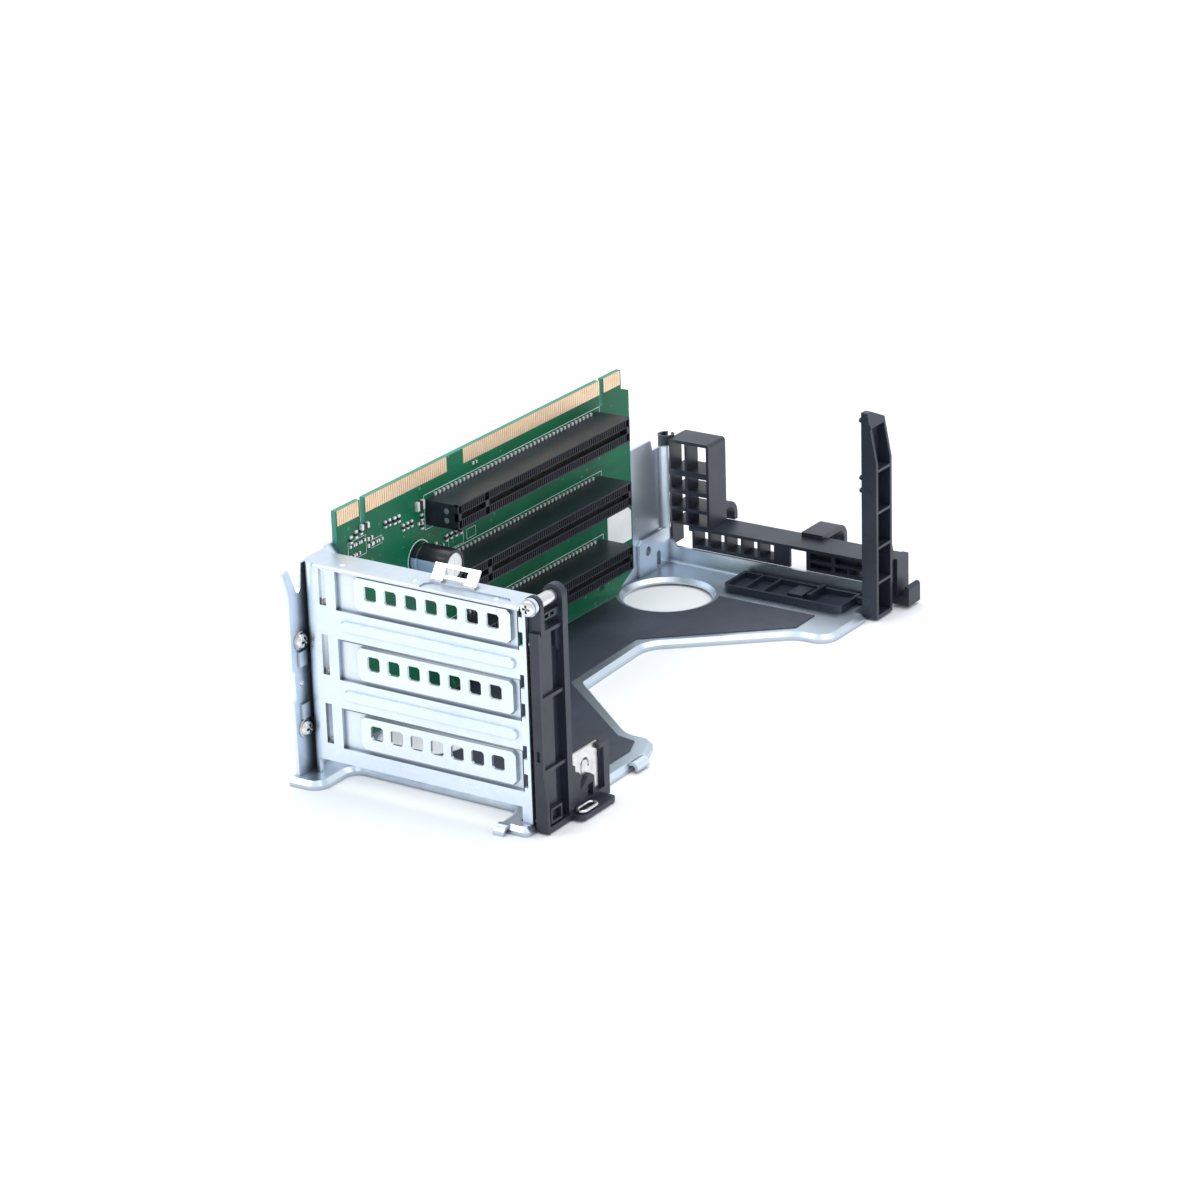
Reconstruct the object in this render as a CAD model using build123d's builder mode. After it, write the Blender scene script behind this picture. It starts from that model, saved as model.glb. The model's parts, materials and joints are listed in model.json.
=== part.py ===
from build123d import *
import os
from math import cos, sin, radians

os.makedirs("parts", exist_ok=True)

# Server riser cage, standing on the rim of its base plate.
# Origin: on the resting plane, in the front face of the slot wall, under the left end of the slot windows.
# X runs along the slot wall, Y goes back along the riser board, Z is up.

# Sheet metal
sheet_t = 1.0
rim_depth = 2.5
plate_top = rim_depth
rim_bend = 1.2
wall_t = 1.2

# Expansion slots, on the standard pitch
slot_pitch = 20.32
slot_count = 3
window_w = 60.1
window_h = 12.06
window_z0 = 11.6

# Slot wall
wall_top = window_z0 + (slot_count - 1) * slot_pitch + window_h + 0.1
wall_bottom = 7.1
wall_right = window_w + 1.3
wall_fold_r = 4.5
ear_face_x = -13.0
flange_depth = 9.8

# Side wall behind the riser board
side_face_x = -15.0
board_t = 1.57
board_front_x = side_face_x + board_t

# Base plate outline
plate_left = side_face_x
plate_right = wall_right + 0.6
back_face_y = 187.5
back_flange_top = 7.9
corner_tab_top = 14.4
flange_right = plate_right - 3.1
hole_r = 13.6
near_hole = (0.0, 36.5)
far_hole = (0.6, 163.0)
ear_hole = (plate_right - 4.2, 1.5)
ear_hole_r = 1.0

# Card connectors
conn_len = 89.0
conn_w = 7.5
conn_h = 11.25
conn_y0 = 59.87
conn_top0 = 22.5
key_y = conn_y0 + 14.5

# Riser board, reaching past the connectors
board_over = 9.56
board_beyond = 16.83
board_top = conn_top0 + (slot_count - 1) * slot_pitch + board_over
board_y0 = 18.2
board_y1 = conn_y0 + conn_len + board_beyond
finger_pitch = 1.0
finger_w = 0.74
finger_h = 4.4
finger_t = 0.05

# Black guide mouldings at the back
beam_y0 = back_face_y + sheet_t
beam_y1 = 200.0
beam_top = 15.1
beam_bottom = 7.3
block_top = 42.6

# Latch and its hinge pin
pin_r = 1.9
pin_x = wall_right + 1.3
pin_z = wall_top + 0.4
pin_clear = 0.05
latch_x0 = wall_right + 0.9
latch_x1 = latch_x0 + 2.9
latch_y0 = 0.3
latch_y1 = 13.5
latch_bottom = 0.5


# Base plate: rimmed sheet with two flanged finger holes and a turned-up back edge
plate_points = [
    (plate_left, -7.0),
    (-4.6, -7.0),
    (-4.6, 9.0),
    (plate_right - 12.5, 9.0),
    (plate_right - 10.0, 4.0),
    (plate_right - 10.0, -3.6),
    (plate_right, -3.6),
    (plate_right, 55.5),
    (plate_right - 4.2, 65.8),
    (plate_right - 12.6, 65.8),
    (18.4, 91.0),
    (16.6, 126.0),
    (plate_right - 10.5, 154.8),
    (plate_right, 154.8),
    (plate_right, back_face_y - 9.3),
    (flange_right, back_face_y - 9.3),
    (flange_right, back_face_y + sheet_t),
    (plate_left, back_face_y + sheet_t),
]
corner_radii = {
    1: 5.0,
    2: 4.0,
    3: 2.0,
    4: 1.8,
    6: 1.8,
    7: 5.0,
    8: 4.0,
    9: 9.0,
    10: 2.2,
    11: 9.0,
    12: 9.0,
    13: 5.5,
    14: 1.8,
}


def corner_near(sketch, point):
    return sketch.vertices().sort_by_distance(Vector(point[0], point[1], 0))[0]


with BuildSketch() as plate_outline:
    with BuildLine():
        Polyline(*plate_points, close=True)
    make_face()
    for index, radius in corner_radii.items():
        fillet(corner_near(plate_outline, plate_points[index]), radius)

with BuildSketch() as plate_hollow:
    add(plate_outline.sketch)
    offset(amount=-sheet_t, kind=Kind.ARC, mode=Mode.REPLACE)
    with Locations((plate_left + 1.0, (back_face_y - 7.5) / 2)):
        Rectangle(4.0, back_face_y + 0.5)
    with Locations(((plate_left + flange_right) / 2, back_face_y - 0.5)):
        Rectangle(flange_right - plate_left - 0.2, 8.0)

with BuildPart() as base_plate:
    add(extrude(plate_outline.sketch, amount=plate_top, mode=Mode.PRIVATE))
    chamfer(
        base_plate.edges().group_by(Axis.Z)[-1].filter_by(
            lambda e: e.center().X > plate_left + 0.1 and e.center().Y < back_face_y - 3
        ),
        rim_bend,
    )
    for centre in (near_hole, far_hole):
        with BuildSketch(Plane.XY):
            with Locations(centre):
                Circle(hole_r)
        extrude(amount=plate_top, mode=Mode.SUBTRACT)
    chamfer(
        base_plate.edges().group_by(Axis.Z)[-1].filter_by(GeomType.CIRCLE).filter_by(
            lambda e: abs(e.radius - hole_r) < 0.01
        ),
        rim_bend,
    )
    with BuildSketch(Plane.XY):
        add(plate_hollow.sketch)
        for centre in (near_hole, far_hole):
            with Locations(centre):
                Circle(hole_r + sheet_t, mode=Mode.SUBTRACT)
    extrude(amount=plate_top - sheet_t, mode=Mode.SUBTRACT)
    # Flanges around the finger holes are shallower than the rim
    for centre in (near_hole, far_hole):
        with BuildSketch(Plane.XY):
            with Locations(centre):
                Circle(hole_r + sheet_t + 0.2)
        extrude(amount=0.7, mode=Mode.SUBTRACT)
    # Turned-up back edge
    with BuildSketch(Plane.XZ.offset(-back_face_y)):
        with BuildLine():
            Polyline(
                (plate_left, plate_top - sheet_t),
                (flange_right, plate_top - sheet_t),
                (flange_right, back_flange_top),
                (plate_left + 3.5, back_flange_top),
                (plate_left + 1.0, back_flange_top + 2.5),
                (plate_left + 1.0, corner_tab_top),
                (plate_left, corner_tab_top),
                close=True,
            )
        make_face()
    extrude(amount=-sheet_t)
    # Turned-up tab on the board side
    with BuildSketch(Plane.YZ.offset(plate_left)):
        with BuildLine():
            Polyline(
                (back_face_y - 17.3, plate_top - sheet_t),
                (back_face_y + sheet_t, plate_top - sheet_t),
                (back_face_y + sheet_t, corner_tab_top),
                (back_face_y - 15.5, corner_tab_top),
                (back_face_y - 17.3, corner_tab_top - 1.4),
                close=True,
            )
        make_face()
    extrude(amount=sheet_t)
    # Inner bend radius of the turned-up back edge
    with BuildSketch(Plane.YZ.offset(plate_left + sheet_t)):
        with BuildLine():
            bend = CenterArc((back_face_y - 1.0, plate_top + 1.0), 1.0, -90, 90)
            Line(bend @ 1, (back_face_y, plate_top))
            Line((back_face_y, plate_top), bend @ 0)
        make_face()
    extrude(amount=flange_right - plate_left - sheet_t)
    # Hooked tab at the front of the ear, turned down
    with BuildSketch(Plane.YZ.offset(plate_right - 9.6)):
        with BuildLine():
            tab_in = CenterArc((-3.6, 0.0), 1.5, 90, 90)
            tab_out = CenterArc((-3.6, 0.0), 2.5, 90, 90)
            Polyline(tab_in @ 0, (-2.4, 1.5), (-2.4, 2.5), tab_out @ 0)
            Line(tab_in @ 1, tab_out @ 1)
        make_face()
    extrude(amount=3.4)
    # Curled lug on the long right edge
    with BuildSketch(Plane.XZ.offset(-47.0)):
        with BuildLine():
            lug_in = CenterArc((plate_right + 0.6, 1.3), 0.9, 150, -170)
            lug_out = CenterArc((plate_right + 0.6, 1.3), 1.9, 150, -170)
            Line(lug_in @ 0, lug_out @ 0)
            Line(lug_in @ 1, lug_out @ 1)
        make_face()
    extrude(amount=-6.0)
    # Hole in the front ear
    with Locations((ear_hole[0], ear_hole[1], plate_top - sheet_t / 2)):
        Cylinder(ear_hole_r, sheet_t, mode=Mode.SUBTRACT)
    # Rivet hole and slot in the tab
    with BuildSketch(Plane.YZ.offset(plate_left)):
        with Locations((back_face_y - 12.3, 9.9)):
            Circle(1.5)
        with Locations((back_face_y - 6.5, 5.5)):
            SlotOverall(5.6, 2.2, rotation=90)
    extrude(amount=sheet_t, mode=Mode.SUBTRACT)
base_plate.part.label = "base_plate"
export_step(base_plate.part, "parts/base_plate.step")


# Side wall: carries the riser board, runs forward as the screw ear and curls in at the far end
panel_y0 = 15.0
panel_y1 = back_face_y - 4.5
panel_top = wall_top - 1.0
panel_low_top = 44.5
lip_top = 41.0
ear_y1 = 12.6
screw_y = -1.2
screw_zs = (41.6, 15.9)
with BuildPart() as side_wall:
    # Main panel behind the board
    with BuildSketch(Plane.YZ.offset(side_face_x - sheet_t)):
        with BuildLine():
            Polyline(
                (panel_y0, rim_depth),
                (panel_y1, rim_depth),
                (panel_y1, lip_top),
                (panel_y1 - 2.5, lip_top),
                (panel_y1 - 3.5, panel_low_top),
                (75.0, panel_low_top),
                (45.0, panel_top),
                (panel_y0, panel_top),
                close=True,
            )
        make_face()
    extrude(amount=sheet_t)
    # Step that brings the front part inboard
    with BuildSketch(Plane.XY.offset(rim_depth)):
        with BuildLine():
            Polyline(
                (side_face_x - sheet_t, panel_y0),
                (side_face_x, panel_y0),
                (ear_face_x, ear_y1),
                (ear_face_x - sheet_t, ear_y1),
                close=True,
            )
        make_face()
    extrude(amount=panel_top - rim_depth)
    # Front part and ear, with its finger, V notch and edge notch
    with BuildSketch(Plane.YZ.offset(ear_face_x - sheet_t)):
        with BuildLine():
            Polyline(
                (ear_y1, rim_depth),
                (-4.8, rim_depth),
                (-5.2, 24.2),
                (-4.3, 24.8),
                (-4.3, 33.4),
                (-5.3, 34.0),
                (-5.1, 55.8),
                (-7.2, 62.3),
                (-4.6, 62.9),
                (-1.6, 55.6),
                (-0.6, 55.2),
                (0.3, 56.2),
                (1.0, panel_top),
                (ear_y1, panel_top),
                close=True,
            )
        make_face()
        with Locations((-1.5, 29.1)):
            Circle(0.8, mode=Mode.SUBTRACT)
        for z in screw_zs:
            with Locations((screw_y, z)):
                Circle(1.6, mode=Mode.SUBTRACT)
    extrude(amount=sheet_t)
    # Lanced tabs beside the ear screws
    for z in (36.4, 21.0):
        with Locations((ear_face_x + 0.4, -1.0, z)):
            Box(0.8, 3.2, 4.4)
    # Rolled lip at the far end
    with BuildSketch(Plane.XY.offset(14.6)):
        with BuildLine():
            lip_in = CenterArc((side_face_x + 3.2, panel_y1), 3.2, 180, -72)
            lip_out = CenterArc((side_face_x + 3.2, panel_y1), 3.2 + sheet_t, 180, -72)
            Line(lip_in @ 0, lip_out @ 0)
            Line(lip_in @ 1, lip_out @ 1)
        make_face()
    extrude(amount=lip_top - 14.6)
side_wall.part.label = "side_wall"
export_step(side_wall.part, "parts/side_wall.step")

# Slot wall: three windows, ribs, rolled left edge, folded top flange, ear for the hinge pin
window_zs = [window_z0 + i * slot_pitch for i in range(slot_count)]
wall_left = ear_face_x + wall_fold_r
with BuildPart() as slot_wall:
    with BuildSketch(Plane.XZ):
        with BuildLine():
            Polyline(
                (wall_left, wall_bottom),
                (wall_right - 3.2, wall_bottom),
                (wall_right - 3.2, plate_top),
                (wall_right, plate_top),
                (wall_right, wall_top - sheet_t),
                (wall_left, wall_top - sheet_t),
                close=True,
            )
        make_face()
        with Locations((pin_x, pin_z)):
            Circle(pin_r + 0.6)
        for z in window_zs:
            with Locations((window_w / 2 - 0.9, z + window_h / 2)):
                Rectangle(window_w, window_h, mode=Mode.SUBTRACT)
            for dz in (5.2, -3.0):
                with Locations((window_w - 0.35, z + window_h / 2 + dz + 0.2)):
                    Rectangle(1.3, 4.0, mode=Mode.SUBTRACT)
            with Locations((-5.3, z + window_h / 2 + 0.57)):
                Rectangle(2.2, window_h - 0.26, mode=Mode.SUBTRACT)
        with Locations((pin_x, pin_z)):
            Circle(pin_r + pin_clear, mode=Mode.SUBTRACT)
    extrude(amount=-wall_t)
    # Ribs between the windows, raised to the front
    for z in window_zs[:-1]:
        with BuildSketch(Plane.XZ):
            with Locations(((window_w - 1.7) / 2, z + (window_h + slot_pitch) / 2)):
                RectangleRounded(window_w - 2.7, 3.0, 1.45)
        extrude(amount=0.7, taper=20)
    # Rolled left edge and the flange that lies along the side wall
    with BuildSketch(Plane.XY.offset(wall_bottom)):
        with BuildLine():
            a1 = CenterArc((wall_left, wall_fold_r), wall_fold_r, 180, 90)
            a2 = CenterArc((wall_left, wall_fold_r), wall_fold_r - wall_t, 180, 90)
            Line(a1 @ 1, a2 @ 1)
            b1 = Line(a1 @ 0, (ear_face_x, 12.0))
            b2 = Line(a2 @ 0, (ear_face_x + wall_t, 12.0))
            Line(b1 @ 1, b2 @ 1)
        make_face()
    extrude(amount=wall_top - wall_bottom)
    with BuildSketch(Plane.XY.offset(plate_top)):
        with BuildLine():
            c1 = CenterArc((wall_left, wall_fold_r), wall_fold_r, 180, 75)
            c2 = CenterArc((wall_left, wall_fold_r), wall_fold_r - wall_t, 180, 75)
            Line(c1 @ 0, c2 @ 0)
            Line(c1 @ 1, c2 @ 1)
        make_face()
    extrude(amount=wall_bottom - plate_top)
    # Top flange, folded back from the front face and along the rolled left edge
    with BuildSketch(Plane.YZ.offset(wall_left)):
        with BuildLine():
            fold = CenterArc((sheet_t, wall_top - sheet_t), sheet_t, 180, -90)
            Polyline(fold @ 1, (flange_depth, wall_top), (flange_depth, wall_top - sheet_t), fold @ 0)
        make_face()
    extrude(amount=wall_right - 2.0 - wall_left)
    with BuildSketch(Plane.XY.offset(wall_top - sheet_t)):
        with BuildLine():
            edge = CenterArc((wall_left, wall_fold_r), wall_fold_r, 180, 90)
            Polyline(edge @ 1, (wall_left, flange_depth), (ear_face_x, 11.0), edge @ 0)
        make_face()
    extrude(amount=sheet_t)
    # Shallow recess along the front of the flange
    with BuildSketch(Plane.XY.offset(wall_top)) as recess:
        with Locations(((27.0 + wall_right - 6.4) / 2, 1.7)):
            Rectangle(wall_right - 6.4 - 27.0, 5.4)
        chamfer(recess.vertices(), 1.4)
    extrude(amount=-0.4, mode=Mode.SUBTRACT)
    # Right edge folded back along the latch
    with Locations((wall_right - 0.5, wall_t + 3.0, (wall_top + plate_top) / 2 - 5.0)):
        Box(1.0, 6.0, 50.0)
slot_wall.part.label = "slot_wall"
export_step(slot_wall.part, "parts/slot_wall.step")

# Slot fillers: perforated sheet blanks behind the windows
vent_w = 4.15
vent_pitch = 6.68
filler_t = 0.8
blank_x0 = -2.2
blank_x1 = window_w - 2.1
emboss_x0 = 5.2
emboss_x1 = window_w - 3.3
emboss_h = window_h - 2.16
vent_x0 = emboss_x0 + 5.5
vent_count = int((emboss_x1 - vent_x0 + vent_pitch / 2) // vent_pitch)
emboss_t = wall_t - 0.1
for index, z in enumerate(window_zs):
    name = ("slot_filler_bottom", "slot_filler_middle", "slot_filler_top")[index]
    with BuildPart() as slot_filler:
        with BuildSketch(Plane.XZ.offset(-wall_t)):
            with Locations(((blank_x0 + blank_x1) / 2, z + window_h / 2 - 1.1)):
                Rectangle(blank_x1 - blank_x0, window_h + 0.34)
        extrude(amount=-filler_t)
        with BuildSketch(Plane.XZ.offset(-wall_t)) as panel:
            with Locations(((emboss_x0 + emboss_x1) / 2, z + window_h / 2)):
                Rectangle(emboss_x1 - emboss_x0, emboss_h)
            chamfer(panel.vertices(), 1.3)
        extrude(amount=emboss_t, taper=12)
        with BuildSketch(Plane.XZ.offset(-wall_t - filler_t)) as dish:
            with Locations(((emboss_x0 + emboss_x1) / 2, z + window_h / 2)):
                Rectangle(emboss_x1 - emboss_x0 - 1.6, emboss_h - 1.6)
            chamfer(dish.vertices(), 0.8)
        extrude(amount=emboss_t, mode=Mode.SUBTRACT)
        with BuildSketch(Plane.XZ) as vents:
            with Locations((vent_x0 + (vent_count - 1) * vent_pitch / 2, z + window_h / 2 + 0.6)):
                with GridLocations(vent_pitch, 1, vent_count, 1):
                    Rectangle(vent_w, vent_w)
            chamfer(vents.vertices(), 0.6)
        extrude(amount=-4.0, mode=Mode.SUBTRACT)
    slot_filler.part.label = name
    export_step(slot_filler.part, "parts/" + name + ".step")

# Contact springs behind the left openings of the slot wall
with BuildPart() as contact_springs:
    for z in window_zs:
        with Locations((-3.6, wall_t + 0.2, z + window_h / 2 - 0.98)):
            Box(2.6, 0.4, window_h + 0.04)
        with Locations((-5.2, wall_t, z + 1.5)):
            Box(1.6, 0.8, 1.2)
contact_springs.part.label = "contact_springs"
export_step(contact_springs.part, "parts/contact_springs.step")

# Sprung clip on the top flange: an open frame that leans back
clip_lean = radians(35)
clip_plane = Plane(
    origin=(34.8, 5.6, wall_top),
    x_dir=(1, 0, 0),
    z_dir=(0, -cos(clip_lean), sin(clip_lean)),
)
with BuildPart() as top_clip:
    with BuildSketch(clip_plane):
        with BuildLine():
            Polyline(
                (-7.3, 0.0),
                (-3.6, 0.0),
                (-3.6, 1.0),
                (3.4, 1.0),
                (3.4, 0.0),
                (7.3, 0.0),
                (7.3, 5.0),
                (-7.3, 5.0),
                close=True,
            )
        make_face()
        with Locations((0, 2.95)):
            Rectangle(7.6, 1.9, mode=Mode.SUBTRACT)
    extrude(amount=0.6)
    for x in (-5.45, 5.35):
        with Locations((34.8 + x, 5.9, wall_top + 0.3)):
            Box(3.7, 2.4, 0.6)
top_clip.part.label = "top_clip"
export_step(top_clip.part, "parts/top_clip.step")

# Riser board
notch_w = 2.1
notch_h = 7.2
far_notch_y = board_y1 - 15.1
with BuildPart() as riser_board:
    with BuildSketch(Plane.YZ.offset(side_face_x)):
        with BuildLine():
            Polyline(
                (board_y0, board_top),
                (board_y1 - 4.1, board_top),
                (board_y1 - 4.1, board_top - 6.0),
                (board_y1, board_top - 7.5),
                (board_y1, plate_top + 5.0),
                (board_y1 - 9.5, plate_top),
                (board_y0 + 3.4, plate_top),
                (board_y0 + 3.4, board_top - 14.0),
                (board_y0, board_top - 9.4),
                close=True,
            )
        make_face()
        for y in (board_y0 + 12.15, far_notch_y):
            with Locations((y, board_top - notch_h / 2)):
                Rectangle(notch_w, notch_h, mode=Mode.SUBTRACT)
            with Locations((y, board_top - notch_h)):
                Circle(notch_w / 2, mode=Mode.SUBTRACT)
        with Locations((board_y1 - 17.7, plate_top + 4.4)):
            Circle(1.3, mode=Mode.SUBTRACT)
    extrude(amount=board_t)
riser_board.part.label = "riser_board"
export_step(riser_board.part, "parts/riser_board.step")

# Gold contact fingers on the front face of the board's top edge
finger_groups = (
    (board_y0 + 0.5, board_y0 + 10.5),
    (board_y0 + 13.6, board_y0 + 52.6),
    (board_y0 + 60.7, far_notch_y - 0.6),
    (far_notch_y + 1.5, far_notch_y + 10.5),
)
finger_spots = []
for start, stop in finger_groups:
    for i in range(round((stop - start) / finger_pitch)):
        finger_spots.append((start + 0.5 + i * finger_pitch, board_top - 0.1 - finger_h / 2))
with BuildPart() as gold_fingers:
    with BuildSketch(Plane.YZ.offset(board_front_x)):
        with Locations(*finger_spots):
            Rectangle(finger_w, finger_h)
    extrude(amount=finger_t)
gold_fingers.part.label = "gold_fingers"
export_step(gold_fingers.part, "parts/gold_fingers.step")

# Card connectors and their solder tails
for index in range(slot_count):
    name = ("card_connector_bottom", "card_connector_middle", "card_connector_top")[index]
    z1 = conn_top0 + index * slot_pitch
    with BuildPart() as card_connector:
        with Locations((board_front_x + conn_h / 2, conn_y0 + conn_len / 2, z1 - conn_w / 2)):
            Box(conn_h, conn_len, conn_w)
        chamfer(card_connector.edges().group_by(Axis.X)[-1].filter_by(Axis.Y), 0.5)
        slot_ends = ((conn_y0 + 1.6, key_y - 0.9), (key_y + 0.9, conn_y0 + conn_len - 1.6))
        for slot_y0, slot_y1 in slot_ends:
            with Locations((board_front_x + conn_h - 4.0, (slot_y0 + slot_y1) / 2, z1 - conn_w / 2)):
                Box(8.01, slot_y1 - slot_y0, 1.8, mode=Mode.SUBTRACT)
    card_connector.part.label = name
    export_step(card_connector.part, "parts/" + name + ".step")

# Rows of solder tails along both sides of the connectors
tail_spots = []
for index in range(slot_count):
    z1 = conn_top0 + index * slot_pitch
    for i in range(41):
        tail_spots.append((conn_y0 + 4.5 + i * 2.0, z1 + 0.45))
with BuildPart() as solder_tails:
    with BuildSketch(Plane.YZ.offset(board_front_x)):
        with Locations(*tail_spots):
            Rectangle(0.9, 0.9)
    extrude(amount=0.6)
solder_tails.part.label = "solder_tails"
export_step(solder_tails.part, "parts/solder_tails.step")

# Capacitor standing out of the board, and the small parts around it
cap_y = 55.8
cap_z = 46.6
cap_r = 5.0
cap_len = 12.4
with BuildPart() as capacitor:
    with BuildSketch(Plane.YZ.offset(board_front_x)):
        with Locations((cap_y, cap_z)):
            Circle(cap_r)
    extrude(amount=cap_len)
    chamfer(capacitor.edges().group_by(Axis.X)[-1], 0.5)
capacitor.part.label = "capacitor"
export_step(capacitor.part, "parts/capacitor.step")

# Small surface parts near the front of the board: place along Y, depth under the board's top,
# size along Y, along Z, and height
chip_spots = (
    (24.5, 12.1, 1.6, 0.8, 0.6),
    (27.0, 12.1, 1.6, 0.8, 0.6),
    (29.5, 12.1, 1.6, 0.8, 0.6),
    (24.5, 15.1, 1.6, 0.8, 0.6),
    (27.0, 15.1, 1.6, 0.8, 0.6),
    (30.5, 8.1, 3.2, 1.6, 0.9),
    (35.0, 14.3, 1.6, 0.8, 0.6),
    (37.6, 14.3, 1.6, 0.8, 0.6),
    (40.2, 10.7, 0.8, 1.6, 0.6),
    (42.2, 10.7, 0.8, 1.6, 0.6),
    (48.5, 14.3, 0.8, 1.6, 0.6),
    (50.5, 14.3, 0.8, 1.6, 0.6),
    (52.5, 14.3, 0.8, 1.6, 0.6),
    (56.5, 15.5, 1.6, 0.8, 0.6),
    (56.5, 10.2, 3.0, 2.6, 1.1),
    (84.0, 5.7, 1.6, 0.8, 0.6),
)
with BuildPart() as board_components:
    for y, depth, wide, high, thick in chip_spots:
        with Locations((board_front_x + thick / 2, y, board_top - depth)):
            Box(thick, wide, high)
board_components.part.label = "board_components"
export_step(board_components.part, "parts/board_components.step")

# Blank label near the far end of the board
with BuildPart() as board_label:
    with Locations((board_front_x + 0.06, board_y1 - 7.2, conn_top0 + 0.4)):
        Box(0.12, 13.0, 10.8)
board_label.part.label = "board_label"
export_step(board_label.part, "parts/board_label.step")

# Pan head screws in the ear
screw_r = 2.75
screw_head_t = 2.0
with BuildPart() as ear_screws:
    for z in screw_zs:
        with BuildSketch(Plane.YZ.offset(ear_face_x)):
            with Locations((screw_y, z)):
                Circle(screw_r)
        extrude(amount=screw_head_t)
        with BuildSketch(Plane.YZ.offset(ear_face_x - sheet_t)):
            with Locations((screw_y, z)):
                Circle(1.3)
        extrude(amount=sheet_t)
    chamfer(ear_screws.edges().group_by(Axis.X)[-1], 1.0)
ear_screws.part.label = "ear_screws"
export_step(ear_screws.part, "parts/ear_screws.step")

# Thin insulating sheet on the base plate, cut back round the finger holes
insulator_t = 0.3
with BuildPart() as insulator_sheet:
    with BuildSketch(Plane.XY.offset(plate_top)):
        with BuildLine():
            Polyline(
                (-11.8, 14.5),
                (plate_right - 15.0, 14.5),
                (plate_right - 5.0, 21.0),
                (plate_right - 5.0, 54.5),
                (plate_right - 7.7, 61.0),
                (plate_right - 13.8, 62.0),
                (14.6, 88.4),
                (12.8, 126.6),
                (plate_right - 12.6, 157.6),
                (plate_right - 12.6, 168.7),
                (-11.8, 168.7),
                close=True,
            )
        make_face()
        for centre in (near_hole, far_hole):
            with Locations(centre):
                Circle(hole_r + 2.4, mode=Mode.SUBTRACT)
    extrude(amount=insulator_t)
insulator_sheet.part.label = "insulator_sheet"
export_step(insulator_sheet.part, "parts/insulator_sheet.step")

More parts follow.
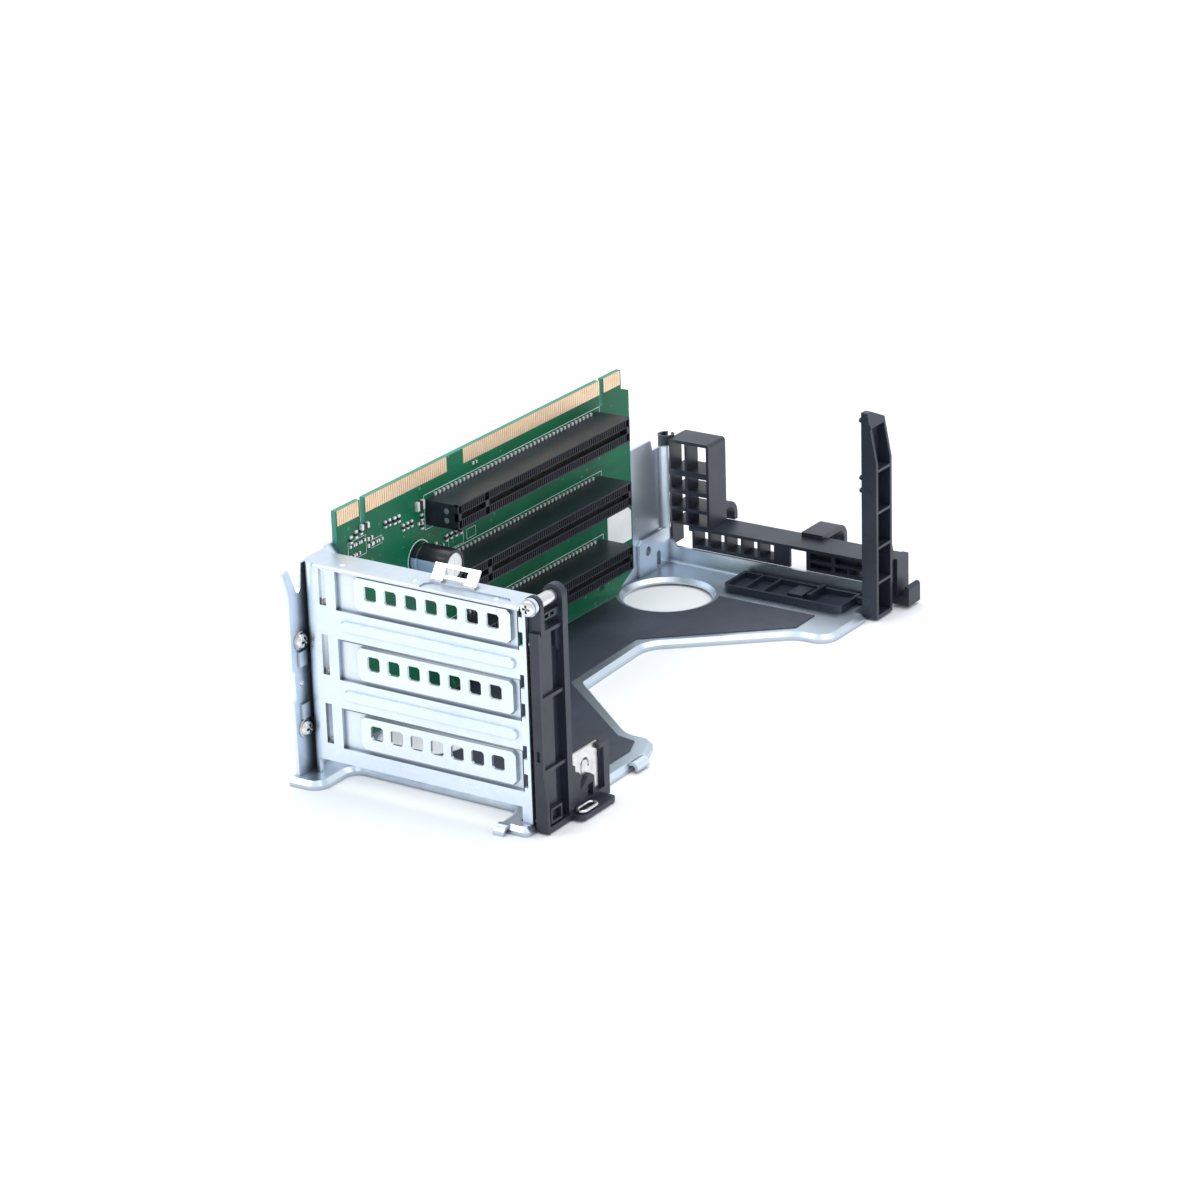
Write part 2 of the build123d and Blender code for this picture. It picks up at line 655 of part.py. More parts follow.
# Latch: black moulding that swings on a pin along Y
floor_x = latch_x0 + 0.9
panel_x = latch_x1 - 0.8
rim_x = latch_x1 + 0.5
channel_y0 = 7.3
rim_y0 = 11.1
neck_y = 9.4
latch_top = wall_top - 6.8
frame_x0 = latch_x1 - 1.2
frame_y1 = 31.8
frame_top = 16.6
with BuildPart() as card_latch:
    # Long body: front wall, shallow panel, deep channel, back rim
    with BuildSketch(Plane.XY.offset(latch_bottom + 1.6)):
        with BuildLine():
            Polyline(
                (latch_x0, latch_y0),
                (latch_x1, latch_y0),
                (latch_x1, latch_y0 + 1.0),
                (panel_x, latch_y0 + 1.0),
                (panel_x, channel_y0),
                (floor_x, channel_y0),
                (floor_x, rim_y0),
                (rim_x, rim_y0),
                (rim_x, latch_y1),
                (latch_x0, latch_y1),
                close=True,
            )
        make_face()
    extrude(amount=latch_top - latch_bottom - 1.6)
    # Above the long channel the back rim is wider
    with BuildSketch(Plane.YZ.offset(floor_x)):
        with BuildLine():
            Polyline(
                (rim_y0, 49.2),
                (rim_y0, latch_top),
                (neck_y, latch_top),
                (neck_y, 51.2),
                close=True,
            )
        make_face()
    extrude(amount=panel_x - floor_x)
    # Closed foot that flares outwards
    with BuildSketch(Plane.XZ.offset(-latch_y0)):
        with BuildLine():
            Polyline(
                (latch_x0, latch_bottom),
                (latch_x1 + 1.1, latch_bottom),
                (latch_x1 + 0.9, 10.0),
                (latch_x1, frame_top),
                (latch_x0, frame_top),
                close=True,
            )
        make_face()
    extrude(amount=-1.0)
    with Locations(((latch_x0 + latch_x1 + 0.9) / 2, (latch_y0 + latch_y1) / 2, latch_bottom + 0.8)):
        Box(latch_x1 + 0.9 - latch_x0, latch_y1 - latch_y0, 1.6)
    # Cross ribs
    for z in (17.9, 38.6, latch_top - 0.5):
        with Locations(((floor_x + latch_x1) / 2, (latch_y0 + rim_y0) / 2, z)):
            Box(latch_x1 - floor_x, rim_y0 - latch_y0, 1.0)
    # Frame of the foot recess
    with BuildSketch(Plane.YZ.offset(panel_x)):
        with Locations((5.2, 4.8)):
            Rectangle(5.4, 4.4)
            Rectangle(4.0, 3.0, mode=Mode.SUBTRACT)
    extrude(amount=latch_x1 + 0.5 - panel_x)
    # Ears round the pin
    for y0, y1, r in ((1.45, 3.0, 2.7), (11.0, latch_y1, 3.1)):
        with BuildSketch(Plane.XZ.offset(-y0)):
            with Locations((pin_x, pin_z)):
                Circle(r)
            with Locations((pin_x + 0.2, (pin_z + latch_top - 1.0) / 2)):
                Rectangle(2 * r - 0.4, pin_z - latch_top + 1.0)
        extrude(amount=-(y1 - y0))
    # Cross bar with two windows under the pin
    with BuildSketch(Plane.YZ.offset(floor_x)):
        with Locations((7.0, 61.2)):
            Rectangle(8.2, 2.0)
        for y in (5.0, 7.6):
            with Locations((y, 61.2)):
                Rectangle(1.7, 1.0, mode=Mode.SUBTRACT)
    extrude(amount=1.6)
    with BuildSketch(Plane.XZ):
        with Locations((pin_x, pin_z)):
            Circle(pin_r + pin_clear)
    extrude(amount=-20, mode=Mode.SUBTRACT)
    # Thin frame over the clip plate, with its middle post
    with BuildSketch(Plane.YZ.offset(frame_x0)):
        with BuildLine():
            Polyline(
                (latch_y1, latch_bottom),
                (frame_y1, latch_bottom),
                (frame_y1, frame_top),
                (frame_y1 - 4.6, frame_top),
                (frame_y1 - 4.6, frame_top - 1.4),
                (frame_y1 - 2.6, frame_top - 1.4),
                (frame_y1 - 2.6, 3.4),
                (24.4, 3.4),
                (24.4, 8.4),
                (23.4, 9.4),
                (21.2, 9.4),
                (20.2, 8.4),
                (17.6, 6.6),
                (17.6, 9.0),
                (18.4, 9.8),
                (17.2, 12.0),
                (15.4, 12.6),
                (15.4, 14.6),
                (latch_y1, 14.6),
                close=True,
            )
        make_face()
        with Locations((22.3, 5.2)):
            Rectangle(2.6, 3.6, mode=Mode.SUBTRACT)
    extrude(amount=latch_x1 - frame_x0)
    # Deep right bar and floor of the frame
    with BuildSketch(Plane.YZ.offset(latch_x0)):
        with BuildLine():
            Polyline(
                (latch_y1, latch_bottom),
                (frame_y1, latch_bottom),
                (frame_y1, frame_top),
                (frame_y1 - 2.6, frame_top),
                (frame_y1 - 2.6, 2.6),
                (latch_y1, 2.6),
                close=True,
            )
        make_face()
    extrude(amount=frame_x0 - latch_x0)
    # Ledge under the frame, rounded at its outer corners
    with BuildSketch(Plane.XY.offset(latch_bottom)):
        with Locations((latch_x1 + 1.7, 20.2)):
            RectangleRounded(5.4, 16.8, 1.6)
    extrude(amount=1.3)
    # Slot in the front face
    with Locations((63.9, latch_y0, 22.5)):
        Box(1.0, 1.2, 3.0, mode=Mode.SUBTRACT)
card_latch.part.label = "card_latch"
export_step(card_latch.part, "parts/card_latch.step")

# Hinge pin through the wall's ear and the latch
with BuildPart() as hinge_pin:
    with BuildSketch(Plane.XZ.offset(1.5)):
        with Locations((pin_x, pin_z)):
            Circle(pin_r + 0.35)
    extrude(amount=-1.5)
    with BuildSketch(Plane.XZ):
        with Locations((pin_x, pin_z)):
            Circle(pin_r)
    extrude(amount=-14.0)
hinge_pin.part.label = "hinge_pin"
export_step(hinge_pin.part, "parts/hinge_pin.step")

# Clip plate behind the latch's frame, with a tongue cut free by a round-ended slit
clip_t = 0.6
clip_y0 = latch_y1 + 0.2
clip_y1 = frame_y1 - 3.8
clip_z0 = 2.9
clip_z1 = frame_top + 0.6
slit_y = frame_y1 - 10.2
slit_z = frame_top - 4.2
with BuildPart() as latch_clip_plate:
    with BuildSketch(Plane.YZ.offset(frame_x0 - 0.05 - clip_t)):
        with Locations(((clip_y0 + clip_y1) / 2, (clip_z0 + clip_z1) / 2)):
            Rectangle(clip_y1 - clip_y0, clip_z1 - clip_z0)
        with BuildLine():
            slit_out = CenterArc((slit_y, slit_z), 2.1, 0, 180)
            slit_in = CenterArc((slit_y, slit_z), 1.4, 0, 180)
            Polyline(slit_out @ 1, (slit_y - 2.1, slit_z - 2.2), (slit_y - 1.4, slit_z - 2.2), slit_in @ 1)
            Polyline(slit_out @ 0, (slit_y + 2.1, slit_z - 1.0), (slit_y + 1.4, slit_z - 1.0), slit_in @ 0)
        make_face(mode=Mode.SUBTRACT)
    extrude(amount=clip_t)
latch_clip_plate.part.label = "latch_clip_plate"
export_step(latch_clip_plate.part, "parts/latch_clip_plate.step")

# Wire loop on the latch's ledge
wire_d = 1.0
with BuildPart() as latch_wire_loop:
    with BuildSketch(Plane.XY.offset(latch_bottom + 1.3)):
        with Locations((latch_x1 + 1.95, 17.4)):
            SlotOverall(8.4, 3.8, rotation=90)
            SlotOverall(8.4 - 2 * wire_d, 3.8 - 2 * wire_d, rotation=90, mode=Mode.SUBTRACT)
    extrude(amount=wire_d)
latch_wire_loop.part.label = "latch_wire_loop"
export_step(latch_wire_loop.part, "parts/latch_wire_loop.step")

# Guide block: tall lattice moulding behind the board
block_left = -14.3
block_right = 0.2
block_y1 = 198.6
block_foot = 8.0
lattice_depth = 6.4
column_edges = ((-13.5, -8.5), (-7.6, -0.7))
row_edges = ((33.0, 41.6), (26.7, 31.1), (20.8, 25.3), (15.8, 19.7))


def cable_hook(top_y, top_z, reach, drop, thick):
    """Side profile of a cable hook: a flat arm that curls down at its end."""
    end_y = top_y + reach
    bend_z = top_z - drop
    with BuildSketch() as profile:
        with BuildLine():
            outer = CenterArc((end_y - drop, bend_z), drop, 0, 90)
            inner = CenterArc((end_y - drop, bend_z), drop - thick, 0, 90)
            Polyline(outer @ 1, (top_y, top_z), (top_y, top_z - thick), inner @ 1)
            Polyline(outer @ 0, (end_y, bend_z - 2.0), (end_y - thick, bend_z - 2.0), inner @ 0)
        make_face()
    return profile.sketch


with BuildPart() as guide_block:
    # Front lattice on one long leg
    with BuildSketch(Plane.XZ.offset(-beam_y0)):
        with BuildLine():
            Polyline(
                (block_left, block_foot),
                (block_left + 0.9, block_foot),
                (block_left + 0.9, beam_top + 0.1),
                (block_right, beam_top + 0.1),
                (block_right, block_top),
                (block_left, block_top),
                close=True,
            )
        make_face()
        for x0, x1 in column_edges:
            for z0, z1 in row_edges:
                with Locations(((x0 + x1) / 2, (z0 + z1) / 2)):
                    Rectangle(x1 - x0, z1 - z0, mode=Mode.SUBTRACT)
    extrude(amount=-lattice_depth)
    # Top, right side and shelves run the whole depth
    with BuildSketch(Plane.XZ.offset(-beam_y0 - lattice_depth)):
        with Locations(((block_left + block_right) / 2, (beam_top + 0.1 + block_top) / 2)):
            Rectangle(block_right - block_left, block_top - beam_top - 0.1)
        for z0, z1 in row_edges:
            with Locations(((block_left - 0.1 + block_right - 0.9) / 2, (z0 + z1) / 2)):
                Rectangle(block_right - block_left - 0.8, z1 - z0, mode=Mode.SUBTRACT)
    extrude(amount=-(block_y1 - beam_y0 - lattice_depth))
    top_corner = (block_right, beam_y0, block_top)
    fillet(guide_block.edges().filter_by(Axis.Y).sort_by_distance(top_corner)[0], 1.2)
    # Cable hook at the back
    with BuildSketch(Plane.YZ.offset(block_right - 4.0)):
        add(cable_hook(block_y1 - 0.5, 20.6, 7.0, 4.8, 1.8))
    extrude(amount=4.0)
    # Open cup beside the top left corner
    with BuildSketch(Plane.XY.offset(block_top - 5.6)):
        with Locations((block_left - 2.3, beam_y0 + 2.4)):
            Circle(2.6)
            Circle(1.8, mode=Mode.SUBTRACT)
        with Locations((block_left - 2.3, beam_y0 + 4.4)):
            Rectangle(1.6, 2.6, mode=Mode.SUBTRACT)
    extrude(amount=6.2)
guide_block.part.label = "guide_block"
export_step(guide_block.part, "parts/guide_block.step")

# Guide beam: cross bar outside the turned-up back edge, pierced by windows
beam_left = -6.3
beam_right = plate_right + 1.2
beam_floor = beam_bottom + 0.7
hook_x1 = beam_right + 5.2
window_low = 9.3
window_high = 14.1
beam_windows = [(-5.5 + i * 5.95, -0.5 + i * 5.95) for i in range(5)]
with BuildPart() as guide_beam:
    with BuildSketch(Plane.XZ.offset(-beam_y0)):
        with BuildLine():
            Polyline(
                (beam_left, beam_floor),
                (beam_right, beam_floor),
                (beam_right, beam_top),
                (beam_left - 1.2, beam_top),
                (beam_left - 1.2, beam_top - 1.6),
                (beam_left, beam_top - 1.6),
                close=True,
            )
        make_face()
        for x0, x1 in beam_windows:
            with Locations(((x0 + x1) / 2, (window_low + window_high) / 2)):
                Rectangle(x1 - x0, window_high - window_low, mode=Mode.SUBTRACT)
        with Locations((31.9, (beam_floor + window_high) / 2)):
            Rectangle(5.8, window_high - beam_floor, mode=Mode.SUBTRACT)
        with Locations((52.3, 10.2)):
            Rectangle(4.6, 1.7, mode=Mode.SUBTRACT)
    extrude(amount=-lattice_depth)
    # The panel beside the cable gap is a thin wall
    with Locations((26.9, beam_y0 + 1.0 + lattice_depth / 2, (beam_floor + window_high) / 2)):
        Box(4.4, lattice_depth, window_high - beam_floor, mode=Mode.SUBTRACT)
    # The top skin is deeper than the ribs below it
    with BuildSketch(Plane.XY.offset(beam_top)):
        with Locations(((beam_left - 1.2 + beam_right) / 2, (beam_y0 + beam_y1) / 2)):
            Rectangle(beam_right - beam_left + 1.2, beam_y1 - beam_y0)
    extrude(amount=-0.9)
    # Pockets in the front of the end box
    beam_pockets = (
        (36.2, 43.6, 11.8, 14.0),
        (36.2, 43.6, 9.0, 10.8),
        (45.0, 58.6, 11.8, 14.0),
        (45.0, 49.2, 9.2, 10.9),
    )
    for x0, x1, z0, z1 in beam_pockets:
        with Locations(((x0 + x1) / 2, beam_y0 + 1.4, (z0 + z1) / 2)):
            Box(x1 - x0, 2.8, z1 - z0, mode=Mode.SUBTRACT)
    # Cable hook behind the middle
    with BuildSketch(Plane.YZ.offset(28.2)):
        add(cable_hook(beam_y1 - 3.0, beam_top + 1.5, 15.2, 4.6, 1.8))
    extrude(amount=7.4)
    # End block with its upturned hook
    with BuildSketch(Plane.XZ.offset(-beam_y0 - 4.0)):
        with BuildLine():
            Polyline((beam_right - 1.0, 1.0), (hook_x1, 1.0), (hook_x1, 6.0))
            ThreePointArc((hook_x1, 6.0), (hook_x1 - 0.4, 7.0), (hook_x1 - 1.4, 7.2))
            Polyline(
                (hook_x1 - 1.4, 7.2),
                (hook_x1 - 2.2, 3.2),
                (hook_x1 - 4.0, 3.2),
                (hook_x1 - 4.0, 15.6),
                (beam_right - 1.0, 15.6),
                (beam_right - 1.0, 1.0),
            )
        make_face()
    extrude(amount=-7.0)
guide_beam.part.label = "guide_beam"
export_step(guide_beam.part, "parts/guide_beam.step")

# Support post: channel open to the outside, closed by ribs
post_bottom = 0.6
post_x0 = plate_right - 2.1
post_x1 = post_x0 + 5.1
post_y0 = 179.0
post_y1 = beam_y0 - 0.1
post_top = 65.5
post_skin = 1.1
rib_zs = (12.1, 23.2, 34.4, 47.6)
with BuildPart() as support_post:
    with BuildSketch(Plane.XZ.offset(-post_y0)):
        with BuildLine():
            Polyline(
                (post_x0, post_bottom),
                (post_x1, post_bottom),
                (post_x1, 50.0),
                (post_x1 - 3.0, post_top),
                (post_x0, post_top),
                close=True,
            )
        make_face()
    extrude(amount=-(post_y1 - post_y0))
    # Channel, left open on the outside
    with BuildSketch(Plane.XY.offset(post_bottom + 1.2)):
        with Locations(((post_x0 + 1.0 + post_x1 + 1.0) / 2, (post_y0 + post_y1) / 2)):
            Rectangle(post_x1 - post_x0, post_y1 - post_y0 - 2 * post_skin)
    extrude(amount=post_top - post_bottom - 6.0, mode=Mode.SUBTRACT)
    for z in rib_zs:
        with Locations(((post_x0 + post_x1) / 2, (post_y0 + post_y1) / 2, z)):
            Box(post_x1 - post_x0, post_y1 - post_y0, 0.8)
    # Top slopes down towards the back
    with BuildSketch(Plane.YZ.offset(post_x0)):
        with BuildLine():
            Polyline(
                (post_y0 + 2.5, post_top),
                (post_y1, post_top - 3.2),
                (post_y1, post_top),
                close=True,
            )
        make_face()
    extrude(amount=post_x1 - post_x0, mode=Mode.SUBTRACT)
    # Gusset down to the end block
    with BuildSketch(Plane.YZ.offset(post_x0 + 1.5)):
        with BuildLine():
            Polyline((post_y1, 16.0), (post_y1 + 3.4, 16.0), (post_y1, 27.0), close=True)
        make_face()
    extrude(amount=2.6)
support_post.part.label = "support_post"
export_step(support_post.part, "parts/support_post.step")

# Card guide tray on the plate: low rail round ribs, a raised pad and a pocket
tray_x0 = 14.0
tray_x1 = post_x0 - 4.5
tray_y0 = 173.0
tray_y1 = 186.3
tray_h = 2.4
with BuildPart() as card_guide_tray:
    with BuildSketch(Plane.XY.offset(plate_top)) as tray_outline:
        with Locations(((tray_x0 + tray_x1) / 2, (tray_y0 + tray_y1) / 2)):
            Rectangle(tray_x1 - tray_x0, tray_y1 - tray_y0)
        fillet(tray_outline.vertices().group_by(Axis.Y)[0], 2.2)
    extrude(amount=tray_h)
    with BuildSketch(Plane.XY.offset(plate_top + 0.8)) as tray_hollow:
        add(tray_outline.sketch)
        offset(amount=-1.1, mode=Mode.REPLACE)
    extrude(amount=tray_h, mode=Mode.SUBTRACT)
    # Cross ribs and the pad between them
    for x in (tray_x0 + 7.2, tray_x0 + 13.6):
        with Locations((x, (tray_y0 + tray_y1) / 2, plate_top + tray_h / 2)):
            Box(0.9, tray_y1 - tray_y0, tray_h)
    with Locations((tray_x0 + 24.6, tray_y0 + 5.6, plate_top + 1.5)):
        Box(5.2, 7.4, 3.0)
    with Locations((tray_x0 + 29.0, tray_y0 + 7.6, plate_top + 1.7)):
        Box(1.2, 9.6, 3.4)
    with BuildSketch(Plane.XZ.offset(-tray_y0 - 2.5)):
        with BuildLine():
            Polyline(
                (tray_x1 - 9.4, plate_top + 0.8),
                (tray_x1 - 1.1, plate_top + 0.8),
                (tray_x1 - 1.1, plate_top + 2.0),
                close=True,
            )
        make_face()
    extrude(amount=-7.5)
    # Bar towards the post
    with Locations((tray_x1 + 1.6, tray_y1 - 2.1, plate_top + 1.2)):
        Box(3.4, 1.6, 2.0)
card_guide_tray.part.label = "card_guide_tray"
export_step(card_guide_tray.part, "parts/card_guide_tray.step")
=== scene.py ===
"""Looks of the server riser cage: materials, fine detail, studio and camera."""

import json
import math

import bmesh
import bpy
from mathutils import Matrix, Vector


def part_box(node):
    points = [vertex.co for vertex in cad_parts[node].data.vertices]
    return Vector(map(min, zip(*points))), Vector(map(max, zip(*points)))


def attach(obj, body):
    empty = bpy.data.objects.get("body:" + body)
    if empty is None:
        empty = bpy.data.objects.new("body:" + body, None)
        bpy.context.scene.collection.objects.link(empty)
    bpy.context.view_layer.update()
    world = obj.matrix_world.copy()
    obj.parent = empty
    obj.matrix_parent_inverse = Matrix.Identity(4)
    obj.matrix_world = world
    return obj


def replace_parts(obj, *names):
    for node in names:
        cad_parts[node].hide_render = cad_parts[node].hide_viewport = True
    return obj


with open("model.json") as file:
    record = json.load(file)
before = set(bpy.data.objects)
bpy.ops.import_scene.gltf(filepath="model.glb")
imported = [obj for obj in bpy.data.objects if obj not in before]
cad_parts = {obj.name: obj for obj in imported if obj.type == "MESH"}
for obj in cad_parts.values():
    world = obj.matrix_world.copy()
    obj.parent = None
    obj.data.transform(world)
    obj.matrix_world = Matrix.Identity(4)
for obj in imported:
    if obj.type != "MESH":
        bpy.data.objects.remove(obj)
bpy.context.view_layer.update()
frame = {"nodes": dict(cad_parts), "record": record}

# Detail pieces are laid out in millimetres, in the part's frame, and their meshes are built in metres
MM = 0.001
X_AXIS, Y_AXIS, Z_AXIS = range(3)


def node_box(name):
    """Lowest and highest corner of a node, in millimetres."""
    low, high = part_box(name)
    return [c / MM for c in low], [c / MM for c in high]


# Places that the detail pieces share, read from the frame
(BOARD_BACK, _, _), (BOARD_FACE, _, BOARD_TOP) = node_box("riser_board")
CAP_LOW, CAP_HIGH = node_box("capacitor")
CAP_Y = (CAP_LOW[1] + CAP_HIGH[1]) / 2
CAP_Z = (CAP_LOW[2] + CAP_HIGH[2]) / 2
CONNECTORS = ("card_connector_bottom", "card_connector_middle", "card_connector_top")

# Card slots: the key and the runs of contacts are placed from a connector's ends
KEY_FROM_END = 14.5
KEY_HALF = 0.9
RUN_FROM_END = 1.6
SLOT_HALF = 0.9
SLOT_DEPTH = 8.0
CELL_DEPTH = 1.3
RAIL = 0.45
LIP = 0.25
RIB_HALF = 0.19
RIB_SET_BACK = 0.08
CONTACT_PITCH = 1.0
CONTACT_HALF = 0.2
CONTACT_T = 0.42
CONTACT_FROM = 6.0
CONTACT_TO = 1.9

# Print and bare strips on the board
INK_T = 0.03
STRIP_T = 0.02
STRIP_MARGIN = 0.12

# Steps of the round forms: domed screw heads, the wire and its bends
HEAD_RINGS = 26
HEAD_STEPS = 96
WIRE_STEPS = 12
BEND_STEPS = 16


class Graph:
    """Short way to write a material's nodes."""

    def __init__(self, name):
        self.mat = bpy.data.materials.new(name)
        self.mat.use_nodes = True
        self.tree = self.mat.node_tree
        self.tree.nodes.clear()
        out = self.tree.nodes.new("ShaderNodeOutputMaterial")
        self.bsdf = self.tree.nodes.new("ShaderNodeBsdfPrincipled")
        self.link(self.bsdf.outputs[0], out.inputs[0])
        self.coord = self.tree.nodes.new("ShaderNodeTexCoord").outputs["Object"]

    def link(self, a, b):
        self.tree.links.new(a, b)

    def node(self, kind, **values):
        made = self.tree.nodes.new(kind)
        for key, value in values.items():
            setattr(made, key, value)
        return made

    def put(self, socket, value):
        if isinstance(value, bpy.types.NodeSocket):
            self.link(value, socket)
        else:
            socket.default_value = value

    def noise(self, scale, detail, rough, stretch=(1, 1, 1)):
        mapping = self.node("ShaderNodeMapping")
        mapping.inputs["Scale"].default_value = stretch
        self.link(self.coord, mapping.inputs[0])
        made = self.node("ShaderNodeTexNoise")
        self.link(mapping.outputs[0], made.inputs["Vector"])
        made.inputs["Scale"].default_value = scale
        made.inputs["Detail"].default_value = detail
        made.inputs["Roughness"].default_value = rough
        return made.outputs["Fac"]

    def ramp(self, fac, stops):
        made = self.node("ShaderNodeValToRGB")
        elements = made.color_ramp.elements
        while len(elements) < len(stops):
            elements.new(0.5)
        for element, (place, colour) in zip(elements, stops):
            element.position = place
            if not isinstance(colour, tuple):
                colour = (colour, colour, colour)
            element.color = (*colour, 1.0)
        self.link(fac, made.inputs[0])
        return made.outputs[0]

    def math(self, kind, a, b=0.0, c=0.0):
        """One step of arithmetic. The third value is read by MULTIPLY_ADD alone."""
        made = self.node("ShaderNodeMath", operation=kind)
        self.put(made.inputs[0], a)
        self.put(made.inputs[1], b)
        if kind == "MULTIPLY_ADD":
            self.put(made.inputs[2], c)
        return made.outputs[0]

    def mix(self, fac, a, b):
        made = self.node("ShaderNodeMix", data_type="RGBA")
        self.put(made.inputs["Factor"], fac)
        self.put(made.inputs[6], a)
        self.put(made.inputs[7], b)
        return made.outputs[2]

    def bump(self, height, strength, distance):
        made = self.node("ShaderNodeBump")
        made.inputs["Strength"].default_value = strength
        made.inputs["Distance"].default_value = distance
        self.link(height, made.inputs["Height"])
        return made.outputs[0]

    def xyz(self):
        made = self.node("ShaderNodeSeparateXYZ")
        self.link(self.coord, made.inputs[0])
        return made.outputs

    def facing(self, axis):
        """How much the surface faces along X, Y or Z, 0 to 1 either way."""
        made = self.node("ShaderNodeSeparateXYZ")
        self.link(self.node("ShaderNodeNewGeometry").outputs["Normal"], made.inputs[0])
        return self.math("ABSOLUTE", made.outputs[axis])

    def recess(self, reach):
        """Ambient occlusion, the mask for painted shade: near 0 in corners and recesses, 1 on open faces.
        """
        made = self.node("ShaderNodeAmbientOcclusion", samples=8)
        made.inputs["Distance"].default_value = reach
        return made.outputs["AO"]

    def set(self, **values):
        names = {
            "color": "Base Color",
            "metal": "Metallic",
            "rough": "Roughness",
            "normal": "Normal",
            "spec": "Specular IOR Level",
        }
        for key, value in values.items():
            if isinstance(value, tuple) and len(value) == 3:
                value = (*value, 1.0)
            self.put(self.bsdf.inputs[names[key]], value)
        return self.mat


def zinc(name, light, dark, grain_scale, reach):
    """Zinc coated sheet: cloudy spangle, rolling marks, scuffs, and painted shade that darkens its
    corners and recesses to a dull blue.
    """
    g = Graph(name)
    cloud = g.noise(38.0, 4.0, 0.6)
    grain = g.noise(grain_scale, 3.0, 0.6, (1.0, 0.35, 1.0))
    both = g.math("MULTIPLY_ADD", grain, 0.4, g.math("MULTIPLY", cloud, 0.6))
    scuff = g.noise(900.0, 2.0, 0.5, (1.0, 0.08, 0.3))
    height = g.math("MULTIPLY_ADD", scuff, 0.4, grain)
    open_face = g.ramp(both, [(0.3, dark), (0.66, light)])
    # Painted shade: corners and recesses take a darker bluish colour from ambient occlusion, not from the
    # lamps
    corner = tuple(c * 0.42 for c in dark)
    shade = g.ramp(g.recess(reach), [(0.3, 0.0), (0.95, 1.0)])
    return g.set(
        color=g.mix(shade, (*corner, 1.0), open_face),
        metal=0.9,
        rough=g.ramp(both, [(0.3, 0.34), (0.7, 0.26)]),
        normal=g.bump(height, 0.03, 0.0001),
    )


def plastic(name, colour, rough_low, rough_high, pit=0.12):
    """Moulded plastic: fine pitted surface and faint flow marks."""
    g = Graph(name)
    fine = g.noise(2600.0, 2.0, 0.5)
    flow = g.noise(60.0, 3.0, 0.5)
    lighter = tuple(min(1.0, c * 1.5 + 0.004) for c in colour)
    return g.set(
        color=g.ramp(flow, [(0.3, colour), (0.75, lighter)]),
        rough=g.ramp(flow, [(0.3, rough_high), (0.7, rough_low)]),
        normal=g.bump(fine, pit, 0.00008),
    )


def metal(name, light, dark, rough, metallic=1.0):
    """Bare or plated metal with a fine grain, and painted shade that darkens its corners."""
    g = Graph(name)
    grain = g.noise(500.0, 3.0, 0.5)
    # Painted shade: corners take a darker colour from ambient occlusion, not from the lamps
    corner = tuple(c * 0.5 for c in dark)
    shade = g.ramp(g.recess(0.0012), [(0.3, 0.0), (0.9, 1.0)])
    return g.set(
        color=g.mix(shade, (*corner, 1.0), g.ramp(grain, [(0.3, dark), (0.7, light)])),
        metal=metallic,
        rough=g.ramp(grain, [(0.3, rough + 0.08), (0.7, rough)]),
        normal=g.bump(grain, 0.05, 0.00005),
    )


def board_green():
    """Solder mask over copper traces, with vias and a pale cut edge."""
    g = Graph("board_green")
    _, y, z = g.xyz()
    lane_pitch, slant_pitch = 0.0009, 0.0011
    lane = g.math("SINE", g.math("MULTIPLY", z, 2 * math.pi / lane_pitch))
    lane_field = g.math("GREATER_THAN", g.noise(55.0, 1.0, 0.4, (1.0, 0.35, 1.3)), 0.54)
    along = g.math("MULTIPLY", g.math("GREATER_THAN", lane, 0.15), lane_field)
    slant = g.math("SINE", g.math("MULTIPLY", g.math("ADD", y, z), 2 * math.pi / slant_pitch))
    slant_field = g.math("GREATER_THAN", g.noise(70.0, 1.0, 0.4), 0.6)
    across = g.math("MULTIPLY", g.math("GREATER_THAN", slant, 0.3), slant_field)
    traces = g.math("MAXIMUM", along, across)
    via = g.node("ShaderNodeTexVoronoi")
    g.link(g.coord, via.inputs["Vector"])
    via.inputs["Scale"].default_value = 260.0
    dots = g.math("LESS_THAN", via.outputs["Distance"], 0.13)
    cloud = g.noise(28.0, 3.0, 0.5)
    colour = g.ramp(cloud, [(0.3, (0.0, 0.096, 0.040)), (0.7, (0.0, 0.140, 0.064))])
    colour = g.mix(g.math("MULTIPLY", traces, 0.5), colour, (0.001, 0.19, 0.088, 1.0))
    colour = g.mix(g.math("MULTIPLY", dots, 0.5), colour, (0.13, 0.36, 0.24, 1.0))
    edge = g.math("LESS_THAN", g.facing(X_AXIS), 0.5)
    colour = g.mix(g.math("MULTIPLY", edge, 0.7), colour, (0.08, 0.34, 0.26, 1.0))
    return g.set(
        color=colour,
        rough=g.ramp(cloud, [(0.3, 0.5), (0.7, 0.4)]),
        spec=0.3,
        normal=g.bump(traces, 0.12, 0.00006),
    )


def capacitor_sleeve():
    """Shrunk sleeve: black, with a wide pale stripe down one side."""
    g = Graph("capacitor_sleeve")
    _, y, z = g.xyz()
    side = g.math("SUBTRACT", y, CAP_Y * MM)
    rise = g.math("SUBTRACT", z, CAP_Z * MM)
    turn = g.math("ARCTAN2", rise, side)
    off = g.math("ABSOLUTE", g.math("SUBTRACT", g.math("ABSOLUTE", turn), math.radians(148)))
    below = g.math("LESS_THAN", rise, 0.0019)
    stripe = g.math("MULTIPLY", g.math("LESS_THAN", off, math.radians(42)), below)
    flow = g.noise(90.0, 3.0, 0.5)
    black = g.ramp(flow, [(0.3, (0.012, 0.013, 0.018)), (0.7, (0.02, 0.022, 0.03))])
    return g.set(
        color=g.mix(stripe, black, (0.42, 0.56, 0.78, 1.0)),
        rough=g.ramp(flow, [(0.3, 0.3), (0.7, 0.2)]),
        normal=g.bump(g.noise(500.0, 2.0, 0.5), 0.05, 0.0001),
    )


